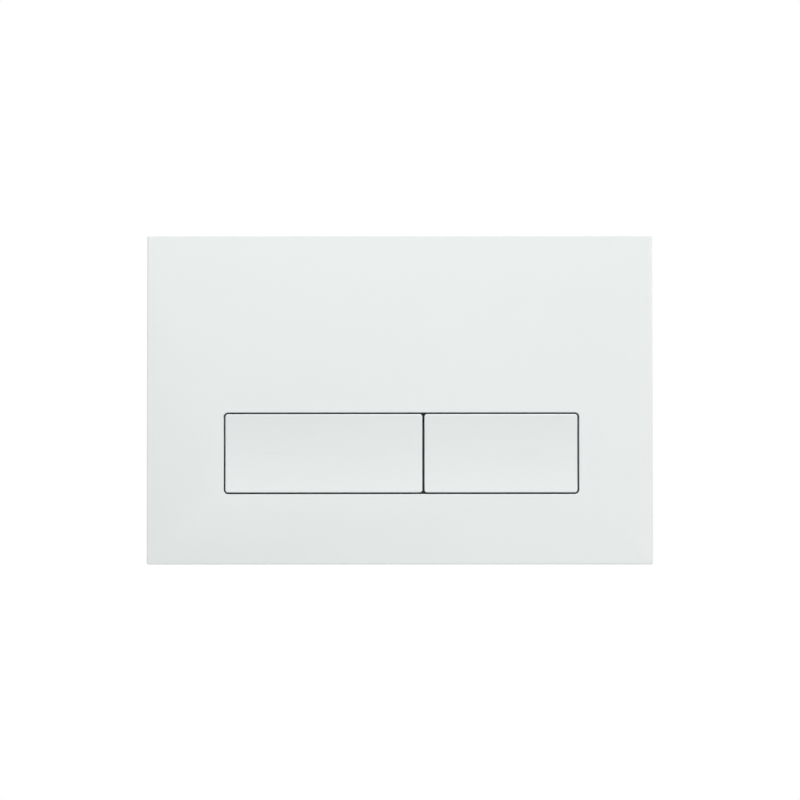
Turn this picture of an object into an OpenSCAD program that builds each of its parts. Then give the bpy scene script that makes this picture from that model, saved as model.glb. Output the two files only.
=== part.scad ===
// Dual flush plate for a concealed cistern, seen from the room side.
// X runs along the plate, Y runs into the wall and Z is up. The origin is the centre
// of the two fixing studs in the plane of the finished wall, so the room is at negative Y.

/* [Cover plate] */
// Width of the cover plate
plate_w = 245; // [230:1:300]
// Height of the cover plate
plate_h = 160; // [130:1:200]
// Distance from the finished wall to the front face
plate_depth = 17; // [16:0.5:22]
// Thickness of the front wall
face_t = 2.4; // [2:0.1:3]
// Thickness of the skirt round the edge
skirt_t = 2.0; // [1.5:0.1:2.5]
// Gap between the skirt and the wall
wall_gap = 0.6; // [0.3:0.1:1.5]
// Radius of the plate's four corners
corner_r = 1.2; // [1:0.1:6]
// Radius of the edge between the face and the skirt
edge_r = 0.8; // [0.4:0.1:0.9]
// Height of the stiffening ribs behind the face
face_rib_h = 2.4; // [1:0.1:2.6]

/* [Button opening] */
// Width of the opening for the two buttons
opening_w = 172; // [140:1:180]
// Height of the opening
opening_h = 39.4; // [32:0.1:48]
// Distance from the plate's lower edge to the opening
bottom_margin = 34.2; // [30:0.1:45]
// Distance of the opening's middle to the right of the plate's
opening_x = 0.8; // [-3:0.1:3]
// Corner radius of the opening
opening_r = 2.0; // [1:0.1:4]
// Chamfer round the front edge of the opening
opening_chamfer = 0.3; // [0.1:0.1:0.5]
// Thickness of the collar behind the opening
collar_t = 1.6; // [1.2:0.1:2]
// Reach of the collar behind the front wall
collar_h = 4.2; // [3:0.1:4.5]

/* [Buttons] */
// Width of the full flush button
full_button_w = 95.4; // [75:0.1:115]
// Gap between a button and the opening
button_gap = 0.75; // [0.5:0.05:1.2]
// Gap between the two buttons
middle_gap = 1.05; // [0.6:0.05:1.6]
// Corner radius of a button cap
cap_r = 1.3; // [0.8:0.1:3]
// Edge radius of a button cap
cap_edge_r = 0.4; // [0.2:0.1:0.6]
// Depth of the hollow pressed into a cap's face
cap_dish = 0.7; // [0.2:0.1:1.2]
// Thickness of a cap at its rim
cap_t = 2.4; // [2:0.1:2.8]
// Thickness of a cap's side walls
cap_wall = 1.4; // [1:0.1:1.8]
// Depth of a cap's side walls from the front face
cap_h = 4.4; // [3.4:0.1:4.6]
// Thickness of the carrier's plate and walls
carrier_t = 1.6; // [1.2:0.1:1.8]
// Angle that a button turns through when it is pressed
press_angle = 6; // [2:0.5:6.5]

/* [Base frame] */
// Thickness of the web that bears on the wall
web_t = 2.2; // [1.8:0.1:3]
// Depth of the frame's outer wall from the finished wall
frame_h = 9.4; // [8:0.1:10]
// Thickness of the frame's walls
frame_wall = 1.8; // [1.4:0.1:2.2]
// Width of the frame's top rail
top_rail = 27; // [20:1:32]
// Thickness of the frame's ribs
rib_t = 1.2; // [1:0.1:1.6]
// Room between the frame and the skirt for the clips
clip_room = 4.5; // [4:0.1:6]
// Distance between neighbouring clips
clip_pitch = 80; // [60:1:95]
// Width of a clip
clip_w = 10; // [8:1:16]

/* [Rockers and push rods] */
// Room at each side of a button that its rocker leaves free
side_room = 17.1; // [16.5:0.1:19]
// Height of the rocker's contact with the button above the opening's lower edge
contact_rise = 15.8; // [12:0.1:20]
// Height of the push rods above the opening's upper edge
rod_rise = 18.4; // [16:0.1:24]
// Distance of the full flush rod from the gap between the buttons
full_rod_offset = 43.5; // [30:0.1:50]
// Distance of the half flush rod from the gap between the buttons
half_rod_offset = 20.5; // [20:0.1:26]
// Diameter of a push rod
rod_d = 6; // [5:0.1:6.5]
// Reach of a push rod behind the wall, with its tip
rod_reach = 68; // [40:1:120]
// Diameter of a rocker's pin
rocker_pin_d = 3; // [2.5:0.1:3.4]
// Diameter of a button's hinge pin
hinge_pin_d = 2.5; // [2:0.1:3]

/* [Springs] */
// Outer diameter of a button spring
spring_d = 6.4; // [5:0.1:6.8]
// Wire diameter of a button spring
spring_wire = 0.6; // [0.4:0.05:0.8]
// Number of turns of a button spring
spring_turns = 6; // [4:1:7]
// Wire diameter of a rocker's torsion spring
torsion_wire = 0.7; // [0.5:0.05:0.8]
// Number of turns of a torsion spring
torsion_turns = 4; // [3:1:4]

/* [Fixings] */
// Diameter of a fixing stud
stud_d = 8; // [6:0.1:8]
// Reach of a fixing stud behind the wall
stud_reach = 72; // [40:1:120]
// Diameter of a fixing nut
nut_d = 20; // [16:0.5:21]
// Length of the slot for a fixing stud
slot_l = 18; // [12:1:24]

/* [Hidden] */
$fn = 48;

white = [0.82, 0.86, 0.85];
frame_grey = [0.72, 0.74, 0.75];
carrier_grey = [0.55, 0.57, 0.58];
steel = [0.75, 0.76, 0.78];
rubber_black = [0.1, 0.1, 0.11];

cut = 1;
run = 0.08;
press = 0.02;
seat = 0.2;

// The front wall and the opening
front_y = -plate_depth;
back_y = front_y + face_t;
collar_y = back_y + collar_h;
sill_z = -plate_h / 2 + bottom_margin;
lintel_z = sill_z + opening_h;
opening_z = sill_z + opening_h / 2;

// The buttons: each runs from its own left edge over its own width
full_x = opening_x - opening_w / 2 + button_gap;
middle_x = full_x + full_button_w + middle_gap / 2;
half_x = full_x + full_button_w + middle_gap;
half_button_w = opening_x + opening_w / 2 - button_gap - half_x;
cap_top = lintel_z - button_gap;
cap_bottom = sill_z + button_gap;
cap_back_y = front_y + cap_h;
dish_chord = cap_top - cap_bottom;
dish_r = (pow(dish_chord / 2, 2) + pow(cap_dish, 2)) / (2 * cap_dish);
stake_inset_x = 20.5;
stake_inset_z = 6.5;
stake_r = 1.4;
stake_head_r = 2.2;
stake_head_h = 0.6;

// The carrier lies against the back of its cap
carrier_front_y = front_y + cap_t;
carrier_y = carrier_front_y + carrier_t;
carrier_rib_y = carrier_y + 1.4;
carrier_inset = cap_wall + seat;

// The hinge of a button
hinge_y = front_y + 6;
hinge_z = lintel_z + 3.9;
hinge_boss_r = 2.9;
arm_inset = 8;
arm_w = 8;
lug_t = 3;
lug_gap = 0.4;
pin_inset = arm_inset - lug_gap - lug_t;

// The lips that stop a button at rest behind the collar
lip_inset = 12.6;
lip_w = 3.8;
lip_t = 1.6;
lip_drop = 2.6;

// Where a point of a button stands when the button is pressed home
function pressed_y(y, z) = hinge_y + (y - hinge_y) * cos(press_angle) - (z - hinge_z) * sin(press_angle);

// The rockers
pivot_y = -5;
pivot_z = sill_z - 10.2;
contact_z = sill_z + contact_rise;
rod_z = lintel_z + rod_rise;
nose_r = 2;
nose_w = 16;
contact_y = pivot_y - 3;
rocker_t = 2.4;
hub_r = 3.6;
spring_room = 5.6;
lug_w = 3.4;
fork_w = 14;
fork_pad_r = 1.8;
fork_top = 5;
window_room = 5;

// The base frame
frame_w = plate_w - 2 * (skirt_t + clip_room);
frame_tall = plate_h - 2 * (skirt_t + clip_room);
frame_r = 5;
window_top = frame_tall / 2 - top_rail;
window_bottom = pivot_z - window_room;
window_wall_y = pivot_y;
cup_floor_y = -web_t - 1.4;
spring_inset = 6.75;
spring_z = sill_z + 7.8;
cup_in_r = spring_d / 2 + 0.3;
cup_out_r = cup_in_r + 1.2;
frame_cup_y = cup_floor_y - 2.6;
carrier_cup_y = carrier_y + 2.2;

// The torsion spring that returns a rocker
torsion_r = rocker_pin_d / 2 + 0.3 + torsion_wire / 2;
torsion_pitch = torsion_wire + 0.05;
torsion_leg = 7.4;
torsion_front_y = pivot_y + torsion_r - torsion_wire / 2 - 0.1;
torsion_post_z = pivot_z + torsion_r - torsion_wire / 2 - 0.1;

// The rubber buffers that a pressed button lands on
buffer_r = 3;
buffer_z = sill_z + 19.8;
buffer_t = 2.8;
buffer_y = pressed_y(carrier_rib_y, buffer_z - buffer_r) + seat;
spring_xs = [
    full_x + spring_inset, full_x + full_button_w - spring_inset,
    half_x + spring_inset, half_x + half_button_w - spring_inset
];
buffer_stem_r = 1.2;
buffer_stem_h = 2;

// The fixings
stud_x = (opening_w / 2 + frame_w / 2) / 2;
stud_front_y = -11.5;
stud_neck_r = stud_d / 2 - 0.2;
slot_r = stud_d / 2 + 0.4;
washer_t = 1.4;
washer_r = 11.5;
nut_h = 6;

// The clips of the cover
clip_t = 1.6;
clip_free = 1;
clip_bite = 1.2;
clip_hook_y = -6.6;
clip_end_y = -2.8;
post_r = 2.6;

// The parts of a push rod, which slides in a ring of the frame
rod_neck_r = 2.5;
rod_head_r = 5;
rod_head_h = 2.1;
rod_head_y = pivot_y - fork_pad_r - seat;
rod_flange_y = pivot_y + fork_pad_r + seat;
rod_socket_y = 1;
rod_sleeve_y = 11;
rod_nut_h = 4;
rod_tip_r = 4.6;
rod_tip_l = 10;
rod_tip_wall = 2;
ring_front_y = 5;
ring_back_y = 10;
ring_r = rod_head_r + 2.2;
bridge_z = rod_z + fork_top + 2;
bridge_h = 4;
full_rod_x = middle_x - full_rod_offset;
half_rod_x = middle_x + half_rod_offset;

// The width of each rocker, and where its nose meets the button
full_rocker_x0 = full_x + side_room;
full_rocker_x1 = full_x + full_button_w - side_room;
half_rocker_x0 = half_x + side_room;
half_rocker_x1 = half_x + half_button_w - side_room;
nose_share = (contact_z - pivot_z) / (rod_z - pivot_z);
full_hub_x = (full_rocker_x0 + full_rocker_x1) / 2;
half_hub_x = (half_rocker_x0 + half_rocker_x1) / 2;
full_nose_x = full_hub_x + (full_rod_x - full_hub_x) * nose_share;
half_nose_x = half_hub_x + (half_rod_x - half_hub_x) * nose_share;
window_inset = spring_inset + cup_out_r;

// Extrudes an outline drawn in X and Z from y0 back to y1
module slab(y0, y1) {
    translate([0, y1, 0]) rotate([90, 0, 0]) linear_extrude(y1 - y0) children();
}

// Extrudes a profile drawn in Y and Z from x0 to x1
module bar(x0, x1) {
    translate([x0, 0, 0]) rotate([90, 0, 90]) linear_extrude(x1 - x0) children();
}

// A cylinder along Y from y0 to y1
module peg(x, z, r, y0, y1) {
    translate([x, y1, z]) rotate([90, 0, 0]) cylinder(r = r, h = y1 - y0);
}

// A cylinder along X from x0 to x1
module axle(y, z, r, x0, x1) {
    translate([x0, y, z]) rotate([0, 90, 0]) cylinder(r = r, h = x1 - x0);
}

// A box given by its two corners
module block(x0, x1, y0, y1, z0, z1) {
    translate([x0, y0, z0]) cube([x1 - x0, y1 - y0, z1 - z0]);
}

// A rectangle with round corners, from one corner to the other
module round_rect(x0, x1, z0, z1, r) {
    translate([x0 + r, z0]) square([x1 - x0 - 2 * r, z1 - z0]);
    translate([x0, z0 + r]) square([x1 - x0, z1 - z0 - 2 * r]);
    for (x = [x0 + r, x1 - r], z = [z0 + r, z1 - r]) translate([x, z]) circle(r = r);
}

// What is cut away to round an edge that lies at the origin, in a plane square to the edge
module edge_round(edge) {
    difference() {
        translate([-cut, -cut]) square([edge + cut, edge + cut]);
        translate([edge, edge]) circle(r = edge);
    }
}

// A block from y0 back to y1: its upright corners have radius r, its front edge has radius edge
module soft_block(x0, x1, z0, z1, y0, y1, r, edge) {
    difference() {
        slab(y0, y1) round_rect(x0, x1, z0, z1, r);
        for (side = [0, 1]) {
            translate([0, y0, side ? z1 : z0]) mirror([0, 0, side])
                bar(x0 + r, x1 - r) edge_round(edge);
            translate([side ? x1 : x0, y0, z0 + r]) mirror([side, 0, 0])
                linear_extrude(z1 - z0 - 2 * r) edge_round(edge);
        }
        for (x = [0, 1], z = [0, 1])
            translate([x ? x1 - r : x0 + r, y0, z ? z1 - r : z0 + r]) rotate([90, 0, 0]) intersection() {
                rotate_extrude() translate([r, 0]) rotate(180) edge_round(edge);
                translate([x ? 0 : -r - cut, z ? 0 : -r - cut, -r]) cube([r + cut, r + cut, 2 * r]);
            }
    }
}

// A ring of points round a wire that winds about an axis: out is the radial direction
function wire_ring(centre, out, along, r, sides) = [
    for (k = [0:sides - 1]) centre + r * cos(360 * k / sides) * out + r * sin(360 * k / sides) * along
];

// A closed tube through rings that each have the same number of points
module wire_tube(rings) {
    sides = len(rings[0]);
    last = len(rings) - 1;
    points = [for (ring = rings) each ring];
    walls = [
        for (i = [0:last - 1], k = [0:sides - 1])
            let (next = (k + 1) % sides)
            [i * sides + k, (i + 1) * sides + k, (i + 1) * sides + next, i * sides + next]
    ];
    first_cap = [[for (k = [0:sides - 1]) k]];
    last_cap = [[for (k = [0:sides - 1]) last * sides + sides - 1 - k]];
    polyhedron(points = points, faces = concat(first_cap, walls, last_cap));
}

// Moves a form drawn at the lower edge of a frame to each place where a clip sits
module at_clips() {
    for (x = [-clip_pitch, 0, clip_pitch]) {
        translate([x, 0, -frame_tall / 2]) children();
        translate([x, 0, frame_tall / 2]) rotate([0, 180, 0]) children();
    }
    for (z = [-clip_pitch / 2, clip_pitch / 2]) {
        translate([-frame_w / 2, 0, z]) rotate([0, 90, 0]) children();
        translate([frame_w / 2, 0, z]) rotate([0, -90, 0]) children();
    }
}

// The outline of the cover plate, drawn in from its edge
module plate_outline(inset, r) {
    round_rect(-plate_w / 2 + inset, plate_w / 2 - inset, -plate_h / 2 + inset, plate_h / 2 - inset, r);
}

// The outline of the opening, grown outwards
module opening_outline(grow) {
    round_rect(opening_x - opening_w / 2 - grow, opening_x + opening_w / 2 + grow,
        sill_z - grow, lintel_z + grow, opening_r + grow);
}

// A clip of the cover: an arm with a hook that a hole in the frame's wall holds
module clip() {
    bar(-clip_w / 2, clip_w / 2) polygon([
        [back_y - 0.5, -clip_free - clip_t], [clip_end_y, -clip_free - clip_t],
        [clip_end_y, -clip_free - 0.4], [clip_hook_y + 1, clip_bite], [clip_hook_y, clip_bite],
        [clip_hook_y, -clip_free], [back_y - 0.5, -clip_free]
    ]);
}

// A lug of the cover with a mouth that a hinge pin snaps into
module hinge_lug(x0) {
    difference() {
        block(x0, x0 + lug_t, back_y - 0.5, hinge_y + hinge_pin_d / 2 + 0.7,
            hinge_z - hinge_boss_r, hinge_z + hinge_boss_r);
        axle(hinge_y, hinge_z, hinge_pin_d / 2 + press, x0 - cut, x0 + lug_t + cut);
        block(x0 - cut, x0 + lug_t + cut, hinge_y, hinge_y + hinge_pin_d,
            hinge_z - 0.38 * hinge_pin_d, hinge_z + 0.38 * hinge_pin_d);
    }
}

// The lugs of one button and the two places in the collar where its arms pass
module hinge_lugs(x0, w) {
    hinge_lug(x0 + pin_inset);
    hinge_lug(x0 + w - pin_inset - lug_t);
}
module arm_notches(x0, w) {
    for (x = [x0 + arm_inset, x0 + w - arm_inset - arm_w])
        block(x - 0.5, x + arm_w + 0.5, hinge_y - hinge_boss_r + 0.3, collar_y + cut,
            lintel_z - cut, lintel_z + collar_t + cut);
}

// The moulded cover: a shallow box with the opening, its collar, ribs, clips and posts
module cover_plate() {
    inner_w = plate_w / 2 - skirt_t + 0.5;
    inner_h = plate_h / 2 - skirt_t + 0.5;
    rib_top = back_y + face_rib_h;
    color(white) union() {
        difference() {
            soft_block(-plate_w / 2, plate_w / 2, -plate_h / 2, plate_h / 2,
                front_y, -wall_gap, corner_r, edge_r);
            slab(back_y, cut) plate_outline(skirt_t, 1);
            slab(front_y - cut, cut) opening_outline(0);
            hull() {
                slab(front_y - cut, front_y) opening_outline(opening_chamfer, $fn = 32);
                slab(front_y + opening_chamfer, front_y + 1) opening_outline(-0.02, $fn = 32);
            }
        }
        difference() {
            slab(back_y - 0.5, collar_y) difference() {
                opening_outline(collar_t);
                opening_outline(0);
            }
            arm_notches(full_x, full_button_w);
            arm_notches(half_x, half_button_w);
        }
        for (x = [-clip_pitch, -clip_pitch / 2, 0, clip_pitch / 2, clip_pitch]) {
            block(x - rib_t / 2, x + rib_t / 2, back_y - 0.5, rib_top, hinge_z + 6.5, inner_h);
            block(x - rib_t / 2, x + rib_t / 2, back_y - 0.5, rib_top, -inner_h, sill_z - 1);
        }
        for (z = [hinge_z + 22, hinge_z + 52])
            block(-inner_w, inner_w, back_y - 0.5, rib_top, z - rib_t / 2, z + rib_t / 2);
        for (z = [opening_z - 12, opening_z + 12]) {
            block(-inner_w, opening_x - opening_w / 2 - 1, back_y - 0.5, rib_top,
                z - rib_t / 2, z + rib_t / 2);
            block(opening_x + opening_w / 2 + 1, inner_w, back_y - 0.5, rib_top,
                z - rib_t / 2, z + rib_t / 2);
        }
        hinge_lugs(full_x, full_button_w);
        hinge_lugs(half_x, half_button_w);
        at_clips() clip();
        for (x = [-1, 1], z = [-1, 1])
            peg(x * (frame_w / 2 - 10), z * (frame_tall / 2 - 10), post_r, back_y - 0.5, -web_t - seat);
    }
}

// Moves a form drawn on the Y axis to each stake of a cap
module at_stakes(x0, w) {
    for (x = [x0 + stake_inset_x, x0 + w - stake_inset_x])
        for (z = [cap_bottom + stake_inset_z, cap_top - stake_inset_z])
            translate([x, 0, z]) children();
}

// A button's cap: a dished front with side walls, and the stakes that hold it on its carrier
module button_cap(x0, w) {
    x1 = x0 + w;
    color(white) union() {
        difference() {
            soft_block(x0, x1, cap_bottom, cap_top, front_y, cap_back_y, cap_r, cap_edge_r);
            slab(carrier_front_y, cap_back_y + cut)
                round_rect(x0 + cap_wall, x1 - cap_wall, cap_bottom + cap_wall, cap_top - cap_wall, 0.4);
            axle(front_y + cap_dish - dish_r, (cap_top + cap_bottom) / 2, dish_r,
                x0 - cut, x1 + cut, $fn = 720);
        }
        at_stakes(x0, w) {
            peg(0, 0, stake_r, carrier_front_y - 0.5, carrier_y + stake_head_h);
            peg(0, 0, stake_head_r, carrier_y, carrier_y + stake_head_h);
        }
    }
}

// A carrier: the ribbed plate behind a cap with the hinge arms, the spring cups and the stops
module button_carrier(x0, w, nose_x) {
    x1 = x0 + w;
    low = cap_bottom + carrier_inset;
    high = cap_top - carrier_inset;
    left = x0 + carrier_inset;
    right = x1 - carrier_inset;
    springs = [x0 + spring_inset, x1 - spring_inset];
    color(carrier_grey) difference() {
        union() {
            slab(carrier_front_y, carrier_y) round_rect(left, right, low, high, 0.5);
            slab(carrier_y - 0.5, carrier_rib_y) difference() {
                round_rect(left, right, low, high, 0.5);
                round_rect(left + rib_t, right - rib_t, low + rib_t, high - rib_t, 0.4);
            }
            for (x = [x0 + 0.34 * w, x0 + 0.66 * w])
                block(x - rib_t / 2, x + rib_t / 2, carrier_y - 0.5, carrier_rib_y, low + 0.5, high - 0.5);
            block(left + 0.5, right - 0.5, carrier_y - 0.5, carrier_rib_y,
                contact_z - rib_t / 2, contact_z + rib_t / 2);
            for (x = springs) {
                peg(x, spring_z, cup_out_r, carrier_y - 0.5, carrier_cup_y);
                peg(x, buffer_z, buffer_r + 0.6, carrier_y - 0.5, carrier_rib_y);
            }
            block(nose_x - nose_w / 2, nose_x + nose_w / 2, carrier_y - 0.5, contact_y - 0.3 - nose_r,
                contact_z - nose_r, contact_z + nose_r);
            axle(contact_y - 0.3 - nose_r, contact_z, nose_r, nose_x - nose_w / 2, nose_x + nose_w / 2);
            for (x = [x0 + arm_inset, x1 - arm_inset - arm_w]) {
                block(x, x + arm_w, carrier_y - 0.5, hinge_y + 1.2, high - 6, high);
                block(x, x + arm_w, cap_back_y + seat, hinge_y + 1.2, high - 1, hinge_z);
                axle(hinge_y, hinge_z, hinge_boss_r, x, x + arm_w);
            }
            block(left + 1, right - 1, carrier_y - 0.5, collar_y + seat + 1, high - rib_t, high);
            block(left + 1, right - 1, collar_y + seat, collar_y + seat + 1, high - rib_t, lintel_z + 0.5);
            for (x = [x0 + lip_inset, x1 - lip_inset - lip_w]) {
                block(x, x + lip_w, carrier_y - 0.5, collar_y + seat + lip_t, low, low + lip_t);
                block(x, x + lip_w, collar_y + seat, collar_y + seat + lip_t,
                    sill_z - lip_drop, low + lip_t);
            }
        }
        for (x = springs)
            peg(x, spring_z, cup_in_r, carrier_y, carrier_cup_y + cut);
        axle(hinge_y, hinge_z, hinge_pin_d / 2 + run, x0 - cut, x1 + cut);
        at_stakes(x0, w) {
            peg(0, 0, stake_r + press, carrier_front_y - cut, carrier_y + 0.2);
            peg(0, 0, stake_head_r + 0.3, carrier_y, carrier_rib_y + cut);
        }
    }
}

// The steel pin that a button turns on, held in the cover's lugs
module hinge_pin(x0, w) {
    color(steel) axle(hinge_y, hinge_z, hinge_pin_d / 2, x0 + pin_inset, x0 + w - pin_inset);
}

// A compression spring between a carrier's cup and a cup of the frame, with closed ends
function spring_rise(t, turns, wire, length) =
    let (closed = 1.05 * wire, free = (length - 2 * closed) / (turns - 2))
    t < 1 ? t * closed : t > turns - 1 ? length - (turns - t) * closed : closed + (t - 1) * free;
module button_spring(x) {
    y0 = carrier_y + spring_wire / 2 + 0.05;
    y1 = cup_floor_y - spring_wire / 2 - 0.05;
    r = spring_d / 2 - spring_wire / 2;
    color(steel) wire_tube([
        for (i = [0:12 * spring_turns])
            let (a = 30 * i, out = [cos(a), 0, sin(a)])
            wire_ring([x, y0 + spring_rise(i / 12, spring_turns, spring_wire, y1 - y0), spring_z] + r * out,
                out, [0, 1, 0], spring_wire / 2, 6)
    ]);
}

// A rocker: the lever between a button and its push rod, which a fork at its top end moves
module rocker(x0, x1, rod_x, nose_x) {
    front = pivot_y - rocker_t / 2;
    back = pivot_y + rocker_t / 2;
    half_fork = fork_w / 2;
    hub_x = (x0 + x1) / 2;
    neck_z = rod_z - 13;
    color(carrier_grey) difference() {
        union() {
            slab(front, back) polygon([
                [x0, pivot_z], [x1, pivot_z], [x1, pivot_z + 9], [rod_x + half_fork, neck_z],
                [rod_x + half_fork, rod_z + fork_top], [rod_x - half_fork, rod_z + fork_top],
                [rod_x - half_fork, neck_z], [x0, pivot_z + 9]
            ]);
            axle(pivot_y, pivot_z, hub_r, x0, x1);
            axle(pivot_y, rod_z, fork_pad_r, rod_x - half_fork, rod_x + half_fork);
            block(nose_x - nose_w / 2, nose_x + nose_w / 2, contact_y + nose_r, pivot_y,
                contact_z - nose_r, contact_z + nose_r);
            axle(contact_y + nose_r, contact_z, nose_r, nose_x - nose_w / 2, nose_x + nose_w / 2);
            block(rod_x - half_fork, rod_x + half_fork, back - 0.5, back + 2, neck_z - rib_t, neck_z);
            block(x0, x1, back - 0.5, back + 2, pivot_z + 9 - rib_t, pivot_z + 9);
            for (x = [rod_x - half_fork + rib_t, rod_x + half_fork - rib_t])
                block(x - rib_t / 2, x + rib_t / 2, back - 0.5, back + 2, pivot_z + 8.5, rod_z - 9);
            block(hub_x - 2, hub_x + 2, back - 0.5, torsion_front_y, pivot_z + 4.4, pivot_z + 9);
        }
        axle(pivot_y, pivot_z, rocker_pin_d / 2 + run, x0 - cut, x1 + cut);
        block(hub_x - spring_room / 2, hub_x + spring_room / 2, front - 3, back + 3,
            pivot_z - hub_r - cut, pivot_z + hub_r + 0.4);
        block(rod_x - rod_neck_r - 0.15, rod_x + rod_neck_r + 0.15, front - cut, back + cut,
            rod_z, rod_z + fork_top + cut);
        peg(rod_x, rod_z, rod_neck_r + 0.15, front - cut, back + cut);
    }
}

// The steel pin that a rocker turns on, held in the frame's lugs
module rocker_pin(x0, x1) {
    color(steel) axle(pivot_y, pivot_z, rocker_pin_d / 2, x0 - lug_gap - lug_w, x1 + lug_gap + lug_w);
}

// A torsion spring round a rocker's pin: one leg behind the rocker, one on a post of the frame
module rocker_spring(hub_x) {
    turns = torsion_turns - 0.25;
    steps = round(16 * turns);
    x0 = hub_x + torsion_pitch * turns / 2;
    function out(a) = [0, cos(a), sin(a)];
    function spot(i) = [x0 - torsion_pitch * i / 16, pivot_y, pivot_z] + torsion_r * out(-22.5 * i);
    r = torsion_wire / 2;
    color(steel) wire_tube(concat(
        [wire_ring(spot(0) + [0, 0, torsion_leg], out(0), [1, 0, 0], r, 6)],
        [for (i = [0:steps]) wire_ring(spot(i), out(-22.5 * i), [1, 0, 0], r, 6)],
        [wire_ring(spot(steps) + [0, 4.4, 0], out(-22.5 * steps), [1, 0, 0], r, 6)]
    ));
}

// The moulded head of a push rod: two flanges that the fork moves and a sleeve for the rod
module rod_head(x) {
    color(carrier_grey) difference() {
        union() {
            peg(x, rod_z, rod_head_r, rod_head_y - rod_head_h, rod_head_y);
            peg(x, rod_z, rod_neck_r, rod_head_y - 0.5, rod_flange_y + 0.5);
            peg(x, rod_z, rod_head_r, rod_flange_y, rod_sleeve_y);
        }
        peg(x, rod_z, rod_d / 2 + press, rod_socket_y, rod_sleeve_y + cut);
    }
}

// The threaded push rod, its lock nut and its soft tip
module push_rod(x) {
    color(white) peg(x, rod_z, rod_d / 2, rod_socket_y + seat, rod_reach - rod_tip_wall - 0.05);
}
module rod_nut(x) {
    color(white) difference() {
        union() {
            slab(rod_sleeve_y + 0.05, rod_sleeve_y + 0.05 + rod_nut_h)
                translate([x, rod_z]) circle(r = 5.8, $fn = 6);
            peg(x, rod_z, 5, rod_sleeve_y + 0.05, rod_sleeve_y + 0.05 + rod_nut_h + 0.8);
        }
        peg(x, rod_z, rod_d / 2 + press, rod_sleeve_y - cut, rod_sleeve_y + rod_nut_h + 2);
    }
}
module rod_tip(x) {
    color(rubber_black) difference() {
        union() {
            peg(x, rod_z, rod_tip_r - 0.8, rod_reach - rod_tip_l, rod_reach);
            peg(x, rod_z, rod_tip_r, rod_reach - rod_tip_l + 1.5, rod_reach - 1.5);
        }
        peg(x, rod_z, rod_d / 2 + press, rod_reach - rod_tip_l - cut, rod_reach - rod_tip_wall);
    }
}

// The outline of the base frame, drawn in from its edge
module frame_outline(inset, r) {
    round_rect(-frame_w / 2 + inset, frame_w / 2 - inset,
        -frame_tall / 2 + inset, frame_tall / 2 - inset, r);
}

// The outline of one window of the frame, behind one button
module window_outline(x0, w, grow) {
    round_rect(x0 + window_inset - grow, x0 + w - window_inset + grow,
        window_bottom - grow, window_top + grow, 1 + grow);
}

// The slot for a fixing stud, grown outwards
module slot_outline(side, grow) {
    x = side * stud_x;
    half = slot_l / 2 - slot_r;
    translate([x - half, -slot_r - grow]) square([2 * half, 2 * (slot_r + grow)]);
    for (dx = [-half, half]) translate([x + dx, 0]) circle(r = slot_r + grow);
}

// A lug of the frame with a mouth that a rocker's pin snaps into
module rocker_lug(x0) {
    r = hub_r - 0.2;
    difference() {
        union() {
            block(x0, x0 + lug_w, pivot_y - r, -0.4, window_bottom - 3, pivot_z);
            axle(pivot_y, pivot_z, r, x0, x0 + lug_w);
        }
        axle(pivot_y, pivot_z, rocker_pin_d / 2 + press, x0 - cut, x0 + lug_w + cut);
        block(x0 - cut, x0 + lug_w + cut, pivot_y - rocker_pin_d * 2, pivot_y,
            pivot_z - 0.38 * rocker_pin_d, pivot_z + 0.38 * rocker_pin_d);
    }
}

// The ring that a push rod slides in, hung from a bridge across the window
module rod_ring(x0, w, rod_x) {
    left = x0 + window_inset - 0.5;
    right = x0 + w - window_inset + 0.5;
    difference() {
        union() {
            block(left, right, -web_t, 0, bridge_z, bridge_z + bridge_h);
            block(left, right, -web_t - 2, -0.5, bridge_z + bridge_h - rib_t, bridge_z + bridge_h);
            block(rod_x - 6, rod_x + 6, -web_t, ring_back_y, bridge_z, bridge_z + 2.4);
            block(rod_x - 6, rod_x + 6, ring_front_y, ring_back_y, rod_z + 3, bridge_z + 0.5);
            peg(rod_x, rod_z, ring_r, ring_front_y, ring_back_y);
        }
        peg(rod_x, rod_z, rod_head_r + run, ring_front_y - cut, ring_back_y + cut);
    }
}

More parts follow.
